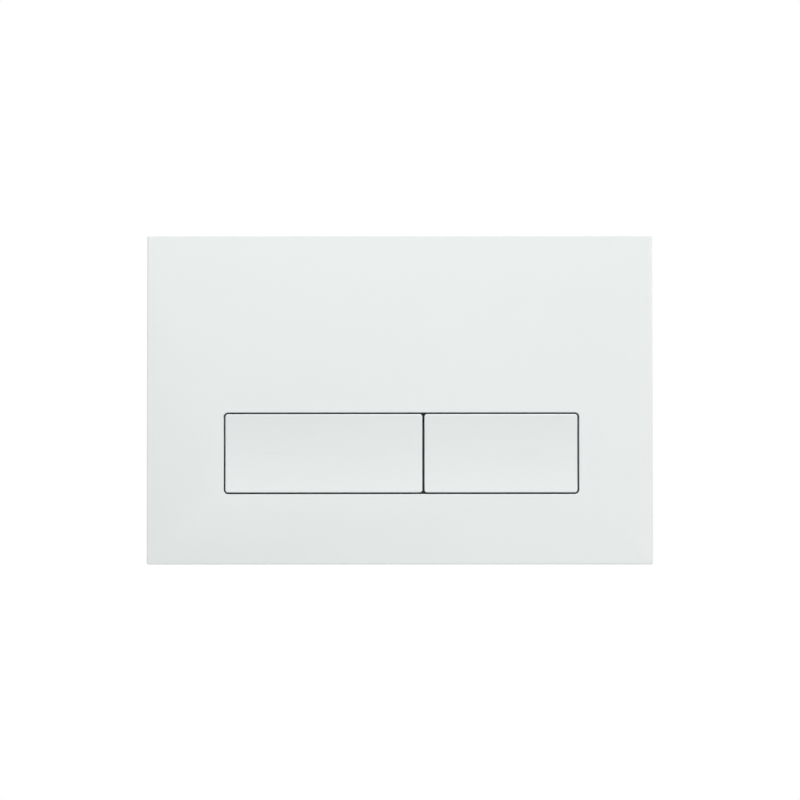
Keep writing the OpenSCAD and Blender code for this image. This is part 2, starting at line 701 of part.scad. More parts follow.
// The moulded base frame: web, walls and ribs, stud slots, cups, lugs and rod rings
module base_frame() {
    rib_y = -web_t - 2.8;
    inner_w = frame_w / 2 - 1;
    inner_h = frame_tall / 2 - 1;
    color(frame_grey) union() {
        difference() {
            union() {
                slab(-web_t, 0) frame_outline(0, frame_r);
                slab(-frame_h, -0.5) difference() {
                    frame_outline(0, frame_r);
                    frame_outline(frame_wall, frame_r - frame_wall);
                }
                slab(window_wall_y, -0.5) {
                    window_outline(full_x, full_button_w, frame_wall);
                    window_outline(half_x, half_button_w, frame_wall);
                }
                for (side = [-1, 1]) slab(-web_t - 1, -0.5) slot_outline(side, 3.4);
                for (x = [-clip_pitch, 0, clip_pitch], s = [-1, 1])
                    block(x - rib_t / 2, x + rib_t / 2, rib_y, -0.5,
                        s > 0 ? window_top : -inner_h, s > 0 ? inner_h : window_bottom);
                for (z = [-40, 36]) {
                    block(-inner_w, full_x + window_inset, rib_y, -0.5, z - rib_t / 2, z + rib_t / 2);
                    block(half_x + half_button_w - window_inset, inner_w,
                        rib_y, -0.5, z - rib_t / 2, z + rib_t / 2);
                }
                block(-inner_w, inner_w, rib_y, -0.5, window_top + 9, window_top + 9 + rib_t);
                block(middle_x - rib_t / 2, middle_x + rib_t / 2, rib_y, -0.5, window_bottom, window_top);
                for (x = spring_xs) {
                    peg(x, spring_z, cup_out_r, frame_cup_y, -0.5);
                    peg(x, buffer_z, buffer_r + 0.6, buffer_y + buffer_t, -0.5);
                }
            }
            slab(window_wall_y - cut, cut) {
                window_outline(full_x, full_button_w, 0);
                window_outline(half_x, half_button_w, 0);
            }
            for (side = [-1, 1]) slab(-web_t - 1 - cut, cut) slot_outline(side, 0);
            for (side = [-1, 1]) peg(side * stud_x, 0, washer_r + 0.8, -web_t - 6, -web_t - 1);
            at_clips() block(-clip_w / 2 - 0.5, clip_w / 2 + 0.5, clip_hook_y - seat, clip_end_y - 0.4,
                -cut, frame_wall + cut);
            for (x = spring_xs) {
                peg(x, spring_z, cup_in_r, frame_cup_y - cut, cup_floor_y);
                peg(x, buffer_z, buffer_stem_r + press,
                    buffer_y, buffer_y + buffer_t + buffer_stem_h + 0.3);
            }
        }
        for (x0 = [full_rocker_x0, half_rocker_x0]) rocker_lug(x0 - lug_gap - lug_w);
        for (x1 = [full_rocker_x1, half_rocker_x1]) rocker_lug(x1 + lug_gap);
        for (x = [full_hub_x, half_hub_x])
            block(x - 2, x + 2, -web_t, -0.4, window_bottom - 1, torsion_post_z);
        rod_ring(full_x, full_button_w, full_rod_x);
        rod_ring(half_x, half_button_w, half_rod_x);
    }
}

// A rubber buffer with a stem in a post of the frame
module buffer(x) {
    color(rubber_black) union() {
        peg(x, buffer_z, buffer_r, buffer_y, buffer_y + buffer_t);
        peg(x, buffer_z, buffer_stem_r, buffer_y + buffer_t - 0.5, buffer_y + buffer_t + buffer_stem_h);
    }
}

// A fixing stud, its washer and its grooved nut
module fixing_stud(side) {
    color(white) union() {
        peg(side * stud_x, 0, stud_neck_r, stud_front_y, 0.5);
        peg(side * stud_x, 0, stud_d / 2, 0, stud_reach);
    }
}
module fixing_washer(side) {
    color(steel) difference() {
        peg(side * stud_x, 0, washer_r, -web_t - 1 - washer_t, -web_t - 1);
        peg(side * stud_x, 0, stud_neck_r + 0.3, -web_t - 4, -web_t + 1);
    }
}
module fixing_nut(side) {
    front = -web_t - 1 - washer_t - nut_h;
    color(white) difference() {
        union() {
            peg(side * stud_x, 0, nut_d / 2, front + 1, front + nut_h);
            peg(side * stud_x, 0, nut_d / 2 - 3, front, front + 2);
        }
        peg(side * stud_x, 0, stud_neck_r + press, front - cut, front + nut_h + cut);
        for (a = [0:30:330])
            translate([side * stud_x, 0, 0]) rotate([0, a, 0])
                peg(nut_d / 2 + 0.6, 0, 1.6, front - cut, front + nut_h + cut);
    }
}

// The steel pin, the springs and the rod parts of each button, by name
module full_button_cap() { button_cap(full_x, full_button_w); }
module half_button_cap() { button_cap(half_x, half_button_w); }
module full_button_carrier() { button_carrier(full_x, full_button_w, full_nose_x); }
module half_button_carrier() { button_carrier(half_x, half_button_w, half_nose_x); }
module full_button_pin() { hinge_pin(full_x, full_button_w); }
module half_button_pin() { hinge_pin(half_x, half_button_w); }
module full_outer_spring() { button_spring(spring_xs[0]); }
module full_inner_spring() { button_spring(spring_xs[1]); }
module half_inner_spring() { button_spring(spring_xs[2]); }
module half_outer_spring() { button_spring(spring_xs[3]); }
module full_rocker() { rocker(full_rocker_x0, full_rocker_x1, full_rod_x, full_nose_x); }
module half_rocker() { rocker(half_rocker_x0, half_rocker_x1, half_rod_x, half_nose_x); }
module full_rocker_pin() { rocker_pin(full_rocker_x0, full_rocker_x1); }
module half_rocker_pin() { rocker_pin(half_rocker_x0, half_rocker_x1); }
module full_rocker_spring() { rocker_spring(full_hub_x); }
module half_rocker_spring() { rocker_spring(half_hub_x); }
module full_rod_head() { rod_head(full_rod_x); }
module half_rod_head() { rod_head(half_rod_x); }
module full_push_rod() { push_rod(full_rod_x); }
module half_push_rod() { push_rod(half_rod_x); }
module full_rod_nut() { rod_nut(full_rod_x); }
module half_rod_nut() { rod_nut(half_rod_x); }
module full_rod_tip() { rod_tip(full_rod_x); }
module half_rod_tip() { rod_tip(half_rod_x); }
module left_fixing_stud() { fixing_stud(-1); }
module right_fixing_stud() { fixing_stud(1); }
module left_fixing_washer() { fixing_washer(-1); }
module right_fixing_washer() { fixing_washer(1); }
module left_fixing_nut() { fixing_nut(-1); }
module right_fixing_nut() { fixing_nut(1); }
module full_outer_buffer() { buffer(spring_xs[0]); }
module full_inner_buffer() { buffer(spring_xs[1]); }
module half_inner_buffer() { buffer(spring_xs[2]); }
module half_outer_buffer() { buffer(spring_xs[3]); }

cover_plate();
base_frame();
full_button_cap();
full_button_carrier();
full_button_pin();
half_button_cap();
half_button_carrier();
half_button_pin();
full_outer_spring();
full_inner_spring();
half_inner_spring();
half_outer_spring();
full_rocker();
full_rocker_pin();
full_rocker_spring();
half_rocker();
half_rocker_pin();
half_rocker_spring();
full_rod_head();
full_push_rod();
full_rod_nut();
full_rod_tip();
half_rod_head();
half_push_rod();
half_rod_nut();
half_rod_tip();
left_fixing_stud();
left_fixing_washer();
left_fixing_nut();
right_fixing_stud();
right_fixing_washer();
right_fixing_nut();
full_outer_buffer();
full_inner_buffer();
half_inner_buffer();
half_outer_buffer();
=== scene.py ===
import math

import bmesh
import bpy
import numpy as np
from mathutils import Matrix, Vector


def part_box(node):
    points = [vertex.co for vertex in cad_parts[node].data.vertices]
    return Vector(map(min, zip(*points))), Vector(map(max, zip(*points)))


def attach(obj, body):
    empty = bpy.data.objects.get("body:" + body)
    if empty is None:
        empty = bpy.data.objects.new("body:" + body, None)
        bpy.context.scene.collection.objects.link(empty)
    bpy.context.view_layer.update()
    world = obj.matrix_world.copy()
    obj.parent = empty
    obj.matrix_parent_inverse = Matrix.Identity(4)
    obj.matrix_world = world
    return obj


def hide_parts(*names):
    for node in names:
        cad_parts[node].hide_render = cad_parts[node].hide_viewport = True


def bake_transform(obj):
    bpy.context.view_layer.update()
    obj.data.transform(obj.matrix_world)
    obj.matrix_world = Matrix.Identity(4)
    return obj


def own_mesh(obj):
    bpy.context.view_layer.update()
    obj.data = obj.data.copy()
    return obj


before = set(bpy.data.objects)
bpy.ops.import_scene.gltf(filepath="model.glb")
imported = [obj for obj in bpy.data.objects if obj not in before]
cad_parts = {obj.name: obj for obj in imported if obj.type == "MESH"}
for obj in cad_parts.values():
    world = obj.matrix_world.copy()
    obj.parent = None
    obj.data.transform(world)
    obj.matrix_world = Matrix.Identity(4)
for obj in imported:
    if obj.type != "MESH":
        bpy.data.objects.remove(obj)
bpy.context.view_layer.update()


# The base frame is one grey moulding that the two studs hold to the wall, behind the cover.
# Its web, ribs, stud slots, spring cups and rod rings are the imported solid's own, with the
# edges eased as a mould leaves them and the fine spark grain of the tool on every face.

def node_group(name, inputs, outputs):
    """An empty node group with float inputs (name: value) and outputs (name: socket type)."""
    group = bpy.data.node_groups.new(name, "ShaderNodeTree")
    for label, value in inputs.items():
        group.interface.new_socket(label, in_out="INPUT", socket_type="NodeSocketFloat").default_value = value
    for label, kind in outputs.items():
        group.interface.new_socket(label, in_out="OUTPUT", socket_type=kind)
    return group, group.nodes.new("NodeGroupInput"), group.nodes.new("NodeGroupOutput")


def node(tree, kind, settings=None, **inputs):
    """Adds a node; an input is given a value or another node's output, with _ for a space in its name."""
    made = tree.nodes.new(kind)
    for key, value in (settings or {}).items():
        setattr(made, key, value)
    for key, value in inputs.items():
        socket = made.inputs[int(key[1:]) if key[1:].isdigit() else key.replace("_", " ")]
        if isinstance(value, bpy.types.NodeSocket):
            tree.links.new(value, socket)
        else:
            socket.default_value = value
    return made


def mould_surface_group():
    """Grain of a mould's face, and the slow drift that the melt leaves as it flows in: two noises,
    one at Grain marks per metre for the relief, one forty times coarser for the tone."""
    group, given, out = node_group(
        "mould_surface", {"Grain": 2500.0, "Drift": 30.0},
        {"Relief": "NodeSocketFloat", "Tone": "NodeSocketFloat"})
    place = node(group, "ShaderNodeTexCoord").outputs["Object"]
    fine = node(group, "ShaderNodeTexNoise", Vector=place, Scale=given.outputs["Grain"], Detail=3.0, Roughness=0.62)
    slow = node(group, "ShaderNodeTexNoise", Vector=place, Scale=given.outputs["Drift"], Detail=2.0, Roughness=0.45,
                Distortion=0.6)
    group.links.new(fine.outputs["Fac"], out.inputs["Relief"])
    group.links.new(slow.outputs["Fac"], out.inputs["Tone"])
    return group


def edge_rub_and_highlight_group():
    """Where an outer edge has been handled and takes a painted highlight: how far the normal turns within Radius of
    the point.
    """
    group, given, out = node_group(
        "edge_rub_and_highlight", {"Radius": 0.0003, "Gain": 3.0}, {"Mask": "NodeSocketFloat"})
    turned = node(group, "ShaderNodeBevel", {"samples": 4}, Radius=given.outputs["Radius"])
    flat = node(group, "ShaderNodeNewGeometry")
    alike = node(group, "ShaderNodeVectorMath", {"operation": "DOT_PRODUCT"},
                 _0=turned.outputs["Normal"], _1=flat.outputs["Normal"])
    bend = node(group, "ShaderNodeMath", {"operation": "SUBTRACT"}, _0=1.0, _1=alike.outputs["Value"])
    mask = node(group, "ShaderNodeMath", {"operation": "MULTIPLY", "use_clamp": True},
                _0=bend.outputs["Value"], _1=given.outputs["Gain"])
    group.links.new(mask.outputs["Value"], out.inputs["Mask"])
    return group


MOULD_SURFACE = mould_surface_group()
EDGE_RUB_AND_HIGHLIGHT = edge_rub_and_highlight_group()


def new_material(name):
    """A material with its node tree and its Principled shader."""
    made = bpy.data.materials.new(name)
    made.use_nodes = True
    return made, made.node_tree, made.node_tree.nodes["Principled BSDF"]


def between(tree, mask, low, high):
    """A colour that goes from low to high as the mask goes from 0.3 to 0.7."""
    ramp = node(tree, "ShaderNodeValToRGB", Fac=mask)
    for stop, place, colour in zip(ramp.color_ramp.elements, (0.3, 0.7), (low, high)):
        stop.position = place
        stop.color = (*colour, 1)
    return ramp.outputs["Color"]


def moulded(name, colour, drift, rough, grain, relief, edge=0.0, specular=0.5):
    """Moulded plastic: colour +/- drift by the flow, roughness (low, high) by the same flow, and
    relief metres deep with grain marks per metre. Edges take a share of paler, smoother colour:
    partly rub from handling, partly a painted highlight."""
    made, tree, shader = new_material(name)
    face = node(tree, "ShaderNodeGroup", {"node_tree": MOULD_SURFACE}, Grain=grain, Drift=28.0)
    tone = between(tree, face.outputs["Tone"], [c * (1 - drift) for c in colour],
                   [min(1.0, c * (1 + drift)) for c in colour])
    gloss = node(tree, "ShaderNodeMapRange", Value=face.outputs["Tone"], _1=0.3, _2=0.7, _3=rough[0], _4=rough[1])
    roughness = gloss.outputs["Result"]
    # The edges are painted paler and made smoother: partly rub, partly a painted highlight for light catching the
    # rounded edge.
    if edge:
        rub_and_highlight = node(tree, "ShaderNodeGroup", {"node_tree": EDGE_RUB_AND_HIGHLIGHT}, Radius=0.00025, Gain=2.5)
        worn_and_highlit = node(tree, "ShaderNodeMix", {"data_type": "RGBA"}, _6=tone,
                    _7=(*[min(1.0, c * (1 + edge)) for c in colour], 1))
        tree.links.new(rub_and_highlight.outputs["Mask"], worn_and_highlit.inputs[0])
        tone = worn_and_highlit.outputs[2]
        smooth = node(tree, "ShaderNodeMath", {"operation": "MULTIPLY_ADD"}, _0=rub_and_highlight.outputs["Mask"], _1=-0.12,
                      _2=roughness)
        roughness = smooth.outputs["Value"]
    skin = node(tree, "ShaderNodeBump", Strength=1.0, Distance=relief, Height=face.outputs["Relief"])
    tree.links.new(tone, shader.inputs["Base Color"])
    tree.links.new(roughness, shader.inputs["Roughness"])
    tree.links.new(skin.outputs["Normal"], shader.inputs["Normal"])
    shader.inputs["IOR"].default_value = 1.53
    shader.inputs["Specular IOR Level"].default_value = specular
    return made


def dressed(name, node_name, body, material, ease):
    """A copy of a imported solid: its loose triangles merged, flat faces joined again, and its edges
    eased by so many metres. It stands for the solid and rides on the same body."""
    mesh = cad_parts[node_name].data.copy()
    mesh.name = name
    piece = bpy.data.objects.new(name, mesh)
    bpy.context.scene.collection.objects.link(piece)
    work = bmesh.new()
    work.from_mesh(mesh)
    bmesh.ops.remove_doubles(work, verts=work.verts, dist=2e-6)
    bmesh.ops.dissolve_limit(work, angle_limit=math.radians(0.4), verts=work.verts, edges=work.edges,
                             use_dissolve_boundaries=False, delimit={"NORMAL"})
    work.to_mesh(mesh)
    work.free()
    mesh.materials.clear()
    mesh.materials.append(material)
    mesh.shade_smooth()
    mesh.set_sharp_from_angle(angle=math.radians(24))
    eased = piece.modifiers.new("eased_edges", "BEVEL")
    eased.width = ease
    eased.segments = 2
    eased.limit_method = "ANGLE"
    eased.angle_limit = math.radians(50)
    eased.use_clamp_overlap = False
    eased.harden_normals = True
    eased.miter_outer = "MITER_ARC"
    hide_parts(node_name)
    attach(piece, body)
    return piece


FRAME_GREY = moulded("frame_grey_plastic", (0.43, 0.45, 0.46), 0.03, (0.46, 0.56), 3200.0, 0.000012, edge=0.16)
dressed("base_frame_moulding", "base_frame", "housing", FRAME_GREY, 0.00014)


# Two fixing studs of natural nylon, threaded from end to end, screw into the cistern behind
# the wall and come forward through the frame's slots. The thread is a rounded one with a
# pitch of 1.25 mm, and both ends are chamfered so that the nuts start easily.

def place(node_name):
    """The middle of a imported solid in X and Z, and its ends in X and Y, in millimetres."""
    low, high = (np.array(corner) * 1000 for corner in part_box(node_name))
    return (low + high) / 2, low, high


def around(steps):
    """The angles of one turn, without the last, which is the first again."""
    return np.arange(steps) * 2 * np.pi / steps


def spun_y(along, radius, x, z, steps=48):
    """A surface turned about an axis along Y: the point at height along[i] and angle a lies
    radius[i] (or radius[i, a]) from the axis."""
    a = around(steps)
    r = np.broadcast_to(np.reshape(radius, (len(along), -1)), (len(along), steps))
    y = np.broadcast_to(np.reshape(along, (-1, 1)), r.shape)
    return np.stack([x + r * np.cos(a), y, z + r * np.sin(a)], axis=-1)


def build(name, grids, body, replaced, material, crease=32):
    """One piece from closed grids of points (rows, columns, 3) in millimetres. Columns run once
    round. Rows run round too where ring is true; otherwise each end row closes on its middle."""
    points, faces, start = [], [], 0
    for grid, ring in grids:
        if not ring:
            ends = [np.broadcast_to(row.mean(axis=0), row.shape)[None] for row in (grid[0], grid[-1])]
            grid = np.concatenate([ends[0], grid, ends[1]])
        rows, columns = grid.shape[:2]
        index = np.arange(rows * columns).reshape(rows, columns)
        if ring:
            index = np.vstack([index, index[:1]])
        else:
            index[0] = index[0, 0]
            index[-1] = index[-1, 0]
        right = np.roll(index, -1, axis=1)
        a, b, c, d = (part.ravel() for part in (index[:-1], right[:-1], right[1:], index[1:]))
        flat = grid.reshape(-1, 3)
        turn = np.einsum("ij,ij->i", flat[a], np.cross(flat[b], flat[c])) + np.einsum(
            "ij,ij->i", flat[a], np.cross(flat[c], flat[d]))
        quads = np.stack([a, b, c, d], axis=-1)
        quads = quads if turn.sum() > 0 else quads[:, ::-1]
        points.append(flat)
        faces.append(quads + start)
        start += len(flat)
    points, quads = np.concatenate(points), np.concatenate(faces)
    pole = (quads == np.roll(quads, -1, axis=1))
    whole = quads[~pole.any(axis=1)]
    fans = quads[pole.any(axis=1)]
    fans = fans[~pole[pole.any(axis=1)]].reshape(-1, 3)
    used, fresh = np.unique(np.concatenate([whole.ravel(), fans.ravel()]), return_inverse=True)
    corners = fresh.ravel()
    sizes = np.concatenate([np.full(len(whole), 4), np.full(len(fans), 3)])
    mesh = bpy.data.meshes.new(name)
    mesh.vertices.add(len(used))
    mesh.vertices.foreach_set("co", (points[used] / 1000).astype(np.float32).ravel())
    mesh.loops.add(len(corners))
    mesh.loops.foreach_set("vertex_index", corners.astype(np.int32))
    mesh.polygons.add(len(sizes))
    mesh.polygons.foreach_set("loop_start", (np.cumsum(sizes) - sizes).astype(np.int32))
    mesh.materials.append(material)
    mesh.update(calc_edges=True)
    mesh.validate()
    mesh.shade_smooth()
    mesh.set_sharp_from_angle(angle=math.radians(crease))
    piece = bpy.data.objects.new(name, mesh)
    bpy.context.scene.collection.objects.link(piece)
    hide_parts(replaced)
    if body:
        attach(piece, body)
    return piece


def threaded(low, high, crest, pitch, depth, x, z, chamfer, steps=40):
    """A threaded rod from low to high along Y. Its radius is the crest's less depth times a wave,
    flattened at crest and root, that goes round once a pitch, and never more than the chamfers."""
    y = np.linspace(low, high, int((high - low) / pitch * 10) + 1)[:, None]
    wave = np.clip(1.3 * np.cos(2 * np.pi * (y / pitch) - around(steps)), -1, 1)
    radius = np.interp(y, *crest) - depth * (0.5 - 0.5 * wave)
    ends = crest[1][0] - chamfer + np.minimum(y - low, high - y)
    return spun_y(y[:, 0], np.minimum(radius, ends), x, z, steps)


NYLON = moulded("natural_nylon", (0.74, 0.72, 0.655), 0.025, (0.36, 0.46), 1500.0, 0.000006, edge=0.06)
for side in ("left", "right"):
    mid, low, high = place(side + "_fixing_stud")
    rod = threaded(low[1] + 0.02, high[1] - 0.02, ([0.2, 0.6], [3.78, 3.98]), 1.25, 0.62, mid[0], mid[2], 1.0)
    build(side + "_stud_threaded", [(rod, False)], "housing", side + "_fixing_stud", NYLON)


# A stamped steel washer lies under each nut and spans the frame's slot. It is zinc plated:
# pale, a little blue, with the burr of the punch eased on both rims.

def eased(profile, radius, closed=False, steps=5):
    """Rounds the corners of a profile of (along, radius) points. Each corner becomes a parabola
    from a point radius before it to one radius after it, or 0.45 of the side if that is less."""
    corner = np.asarray(profile, float)
    before, after = np.roll(corner, 1, axis=0), np.roll(corner, -1, axis=0)
    if not closed:
        before[0], after[-1] = corner[0], corner[-1]
    back, on = before - corner, after - corner
    span = np.broadcast_to(radius, len(corner)).astype(float)[:, None]
    reach = [d * np.minimum(span / np.maximum(np.linalg.norm(d, axis=1, keepdims=True), 1e-9), 0.45)
             for d in (back, on)]
    t = np.linspace(0, 1, steps)[None, :, None]
    arc = corner[:, None] + (1 - t) ** 2 * reach[0][:, None] + t ** 2 * reach[1][:, None]
    return arc.reshape(-1, 2)


def drawn_marks_group():
    """Fine marks that run one way over metal: a noise drawn out along the axis where Stretch is small."""
    group, given, out = node_group(
        "drawn_marks", {"Along X": 3000.0, "Along Y": 3000.0, "Along Z": 3000.0},
        {"Relief": "NodeSocketFloat", "Tone": "NodeSocketFloat"})
    place_node = node(group, "ShaderNodeTexCoord").outputs["Object"]
    stretch = node(group, "ShaderNodeCombineXYZ", X=given.outputs["Along X"], Y=given.outputs["Along Y"],
                   Z=given.outputs["Along Z"])
    drawn = node(group, "ShaderNodeVectorMath", {"operation": "MULTIPLY"}, _0=place_node,
                 _1=stretch.outputs["Vector"])
    marks = node(group, "ShaderNodeTexNoise", Vector=drawn.outputs["Vector"], Scale=1.0, Detail=4.0, Roughness=0.7)
    cloud = node(group, "ShaderNodeTexNoise", Vector=place_node, Scale=260.0, Detail=3.0, Roughness=0.55)
    group.links.new(marks.outputs["Fac"], out.inputs["Relief"])
    group.links.new(cloud.outputs["Fac"], out.inputs["Tone"])
    return group


DRAWN_MARKS = drawn_marks_group()


def metal(name, dull, bright, rough, marks, relief):
    """Bare or plated steel: its colour clouds from dull to bright, its gloss follows the same cloud,
    and marks (per metre in X, Y and Z) are relief metres deep."""
    made, tree, shader = new_material(name)
    drawn = node(tree, "ShaderNodeGroup", {"node_tree": DRAWN_MARKS}, Along_X=marks[0], Along_Y=marks[1],
                 Along_Z=marks[2])
    cloud = between(tree, drawn.outputs["Tone"], dull, bright)
    gloss = node(tree, "ShaderNodeMapRange", Value=drawn.outputs["Relief"], _1=0.3, _2=0.7, _3=rough[0], _4=rough[1])
    skin = node(tree, "ShaderNodeBump", Strength=1.0, Distance=relief, Height=drawn.outputs["Relief"])
    tree.links.new(cloud, shader.inputs["Base Color"])
    tree.links.new(gloss.outputs["Result"], shader.inputs["Roughness"])
    tree.links.new(skin.outputs["Normal"], shader.inputs["Normal"])
    shader.inputs["Metallic"].default_value = 1.0
    return made


ZINC = metal("zinc_plated_steel", (0.56, 0.58, 0.60), (0.68, 0.69, 0.69), (0.30, 0.44), (900.0, 900.0, 900.0), 0.0000012)
for side in ("left", "right"):
    mid, low, high = place(side + "_fixing_washer")
    rim = eased([(low[1], 4.12), (high[1], 4.12), (high[1], 11.48), (low[1], 11.48)], [0.12, 0.12, 0.3, 0.3],
                closed=True)
    build(side + "_washer_stamped", [(spun_y(rim[:, 0], rim[:, 1], mid[0], mid[2], 72), True)], "housing",
          side + "_fixing_washer", ZINC)


# The knob nuts are nylon mouldings that are run up by hand: twelve finger hollows round the
# rim, a raised boss in front, and every edge rounded so that it doesn't cut the fingers.

def finger_hollows(count, hollow, centre, outer, steps):
    """The radius of a knob's rim at each angle: outer, or less where a ray from the axis first
    meets one of count round hollows whose middles lie centre away."""
    turn = (around(steps) + np.pi / count) % (2 * np.pi / count) - np.pi / count
    cross = hollow ** 2 - (centre * np.sin(turn)) ** 2
    cutting = centre * np.cos(turn) - np.sqrt(np.maximum(cross, 0))
    return np.where(cross > 0, np.minimum(cutting, outer), outer)


for side in ("left", "right"):
    mid, low, high = place(side + "_fixing_nut")
    front, back = low[1], high[1]
    outline = eased(
        [(back, 3.84), (back, 9.98), (front + 1, 9.98), (front + 1, 7.3), (front, 6.98), (front, 3.84)],
        [0.2, 0.5, 0.9, 0.5, 0.5, 0.5], closed=True, steps=6)
    rim = finger_hollows(12, 1.6, 10.6, 9.98, 192)
    radius = np.minimum(outline[:, 1:], rim + 0.25 * (outline[:, 1:] - 9.98))
    radius = np.where(outline[:, 1:] > 8.9, radius, outline[:, 1:])
    build(side + "_knob_nut", [(spun_y(outline[:, 0], radius, mid[0], mid[2], 192), True)], "housing",
          side + "_fixing_nut", NYLON)


# Each rocker is a grey acetal lever that turns on a steel pin near the frame's lower edge. The
# button pushes its rounded nose, and the fork at its top moves the head of a push rod.

LEVER_GREY = moulded("lever_grey_acetal", (0.20, 0.21, 0.22), 0.04, (0.34, 0.44), 2600.0, 0.000008, edge=0.3)
for side in ("full", "half"):
    dressed(side + "_rocker_lever", side + "_rocker", side + "_rocker", LEVER_GREY, 0.0002)


# The rockers' pins are cut from bright drawn rod, 3 mm thick, with the ends chamfered. They
# snap into the mouths of the frame's lugs and stay still while the levers turn.

def spun_x(along, radius, y, z, steps=40):
    """A surface turned about an axis along X: the point at along[i] and angle a lies radius[i] away."""
    a = around(steps)
    r = np.reshape(radius, (-1, 1))
    x = np.broadcast_to(np.reshape(along, (-1, 1)), (len(along), steps))
    return np.stack([x, y + r * np.cos(a), z + r * np.sin(a)], axis=-1)


def pin(name, node_name):
    """A straight pin with chamfered ends in the place of a packed one."""
    mid, low, high = place(node_name)
    r, chamfer = (high[2] - low[2]) / 2, 0.3
    ends = eased([(low[0], 0.02), (low[0], r - chamfer), (low[0] + chamfer, r), (high[0] - chamfer, r),
                  (high[0], r - chamfer), (high[0], 0.02)], [0.01, 0.1, 0.15, 0.15, 0.1, 0.01])
    return build(name, [(spun_x(ends[:, 0], ends[:, 1], mid[1], mid[2]), False)], "housing",
                 node_name, DRAWN_STEEL)


DRAWN_STEEL = metal("bright_drawn_steel", (0.60, 0.59, 0.57), (0.70, 0.69, 0.67), (0.20, 0.36), (60.0, 5200.0, 5200.0),
                    0.000003)
for side in ("full", "half"):
    pin(side + "_rocker_pin_turned", side + "_rocker_pin")


# A torsion spring sits round each rocker's pin, in the middle of its hub: one leg lies behind
# the lever and moves with it, the other on a post of the frame. The wire is 0.7 mm thick.

def wire(path, across, beside, thick, sides=14):
    """A round wire along a path: rings of thick / 2 in the plane of across and beside at each
    point, with two smaller rings at each end that round the cut."""
    a = around(sides)[None, :, None]
    r = thick / 2
    ring = path[:, None] + r * (across[:, None] * np.cos(a) + beside[:, None] * np.sin(a))
    ahead = path[[1, -2]] - path[[0, -1]]
    ahead /= np.linalg.norm(ahead, axis=1, keepdims=True)
    tips = [path[end] + r * (ring[end] - path[end]) / r * share - ahead[end] * 0.25 * r * (1 - share ** 2)
            for end, share in ((0, 0.45), (0, 0.85), (-1, 0.85), (-1, 0.45))]
    return np.concatenate([[tips[0]], [tips[1]], ring, [tips[2]], [tips[3]]])


SPRING_STEEL = metal("spring_steel_wire", (0.42, 0.42, 0.42), (0.58, 0.57, 0.56), (0.24, 0.38), (2600.0, 2600.0, 2600.0),
                     0.000002)
for side in ("full", "half"):
    mid, low, high = place(side + "_rocker_spring")
    pivot = np.array([mid[0], -5.0, -56.0])
    turns, pitch, coil = 3.75, 0.75, 2.15
    a = np.linspace(0, -2 * np.pi * turns, int(36 * turns) + 1)
    out = np.stack([0 * a, np.cos(a), np.sin(a)], axis=-1)
    winding = pivot + coil * out + np.stack([pitch * turns / 2 + pitch * a / (2 * np.pi), 0 * a, 0 * a], axis=-1)
    lift = np.linspace(7.4, 0.4, 12)[:, None] * [0, 0, 1]
    reach = np.linspace(0.4, 4.4, 8)[:, None] * [0, 1, 0]
    path = np.concatenate([winding[:1] + lift, winding, winding[-1:] + reach])
    across = np.concatenate([np.repeat(out[:1], len(lift), axis=0), out, np.repeat(out[-1:], len(reach), axis=0)])
    spring = build(side + "_torsion_spring", [(wire(path, across, np.array([[1.0, 0, 0]]).repeat(len(path), 0), 0.7),
                   False)], None, side + "_rocker_spring", SPRING_STEEL)
    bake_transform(spring)


# The head of each push rod is moulded acetal: two flanges with a waist between them for the
# rocker's fork, and a sleeve that slides in the frame's ring and takes the threaded rod.

for side in ("full", "half"):
    mid, low, high = place(side + "_rod_head")
    head = eased(
        [(low[1] + 0.35, 0.02), (low[1], 1.2), (low[1], 4.98), (-7.0, 4.98), (-7.0, 2.48), (-3.0, 2.48), (-3.0, 4.98),
         (high[1], 4.98), (high[1], 3.04), (1.0, 3.04), (1.0, 0.02)],
        [0.3, 0.6, 0.5, 0.3, 0.35, 0.35, 0.3, 0.5, 0.3, 0.1, 0.01], steps=6)
    build(side + "_rod_head_moulded", [(spun_y(head[:, 0], head[:, 1], mid[0], mid[2], 56), False)], side + "_rod",
          side + "_rod_head", LEVER_GREY)


# The push rods are nylon, threaded along their whole length so that the fitter can set their
# reach to the cistern's valve: an M6 rounded thread with a pitch of 1 mm.

for side in ("full", "half"):
    mid, low, high = place(side + "_push_rod")
    rod = threaded(low[1], high[1], ([0, 1], [2.98, 2.98]), 1.0, 0.5, mid[0], mid[2], 0.8, 36)
    build(side + "_push_rod_threaded", [(rod, False)], side + "_rod", side + "_push_rod", NYLON)


# A hexagonal lock nut holds each rod in its head. Its corners are chamfered by a cone, as on
# any nut, and a thin round collar stands behind them.

def hexagon(corner, steps):
    """The radius of a hexagon at each angle: its flats lie corner * cos(30 degrees) away, and its
    points are blunted a little."""
    from_flat = (around(steps) + np.pi / 6) % (np.pi / 3) - np.pi / 6
    return np.minimum(corner * np.cos(np.pi / 6) / np.cos(from_flat), corner * 0.985)


for side in ("full", "half"):
    mid, low, high = place(side + "_rod_nut")
    front, back, collar = low[1], high[1], high[1] - 0.8
    outline = eased([(front, 3.04), (front, 5.1), (front + 0.5, 5.78), (collar - 0.5, 5.78), (collar, 5.1),
                     (collar, 4.98), (back, 4.98), (back, 3.04)], [0.25, 0.15, 0.1, 0.1, 0.15, 0.1, 0.25, 0.25],
                    closed=True)
    radius = np.minimum(outline[:, 1:], np.where(outline[:, :1] < collar + 0.05, hexagon(5.78, 96), 9.0))
    build(side + "_lock_nut", [(spun_y(outline[:, 0], radius, mid[0], mid[2], 96), True)], side + "_rod",
          side + "_rod_nut", NYLON)


# A soft black tip covers the end of each rod, where it meets the valve. It is moulded rubber
# with three grip rings and a rounded end.

